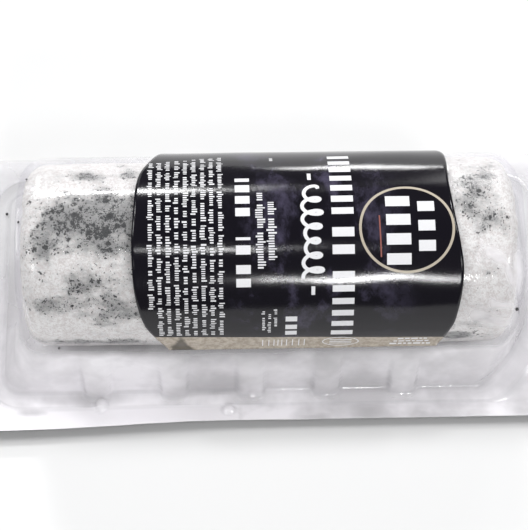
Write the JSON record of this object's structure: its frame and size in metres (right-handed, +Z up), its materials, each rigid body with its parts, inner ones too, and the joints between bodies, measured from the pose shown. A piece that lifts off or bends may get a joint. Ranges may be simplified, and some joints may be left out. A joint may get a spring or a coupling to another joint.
{
  "type": "goat cheese log in a clear pack",
  "caption": "Ash-coated goat cheese log lying in a clear formed pack, sealed flat to a base film, with a dark label over its crown.",
  "frame": {"origin": "middle of the pack's underside, on the surface that it lies on", "axes": "+X along the log, towards the pack's peel corner end, +Y across the pack, away from the peel corner, +Z up"},
  "size_m": [0.139, 0.0676, 0.0438],
  "materials": {
    "cheese": "matte, white with grey ash",
    "clear_film": "clear and glossy",
    "label": "glossy, near black"
  },
  "bodies": {
    "root": {"base_film": "clear_film", "cheese_log": "cheese", "formed_film": "clear_film", "label": "label"}
  },
  "joints": []
}
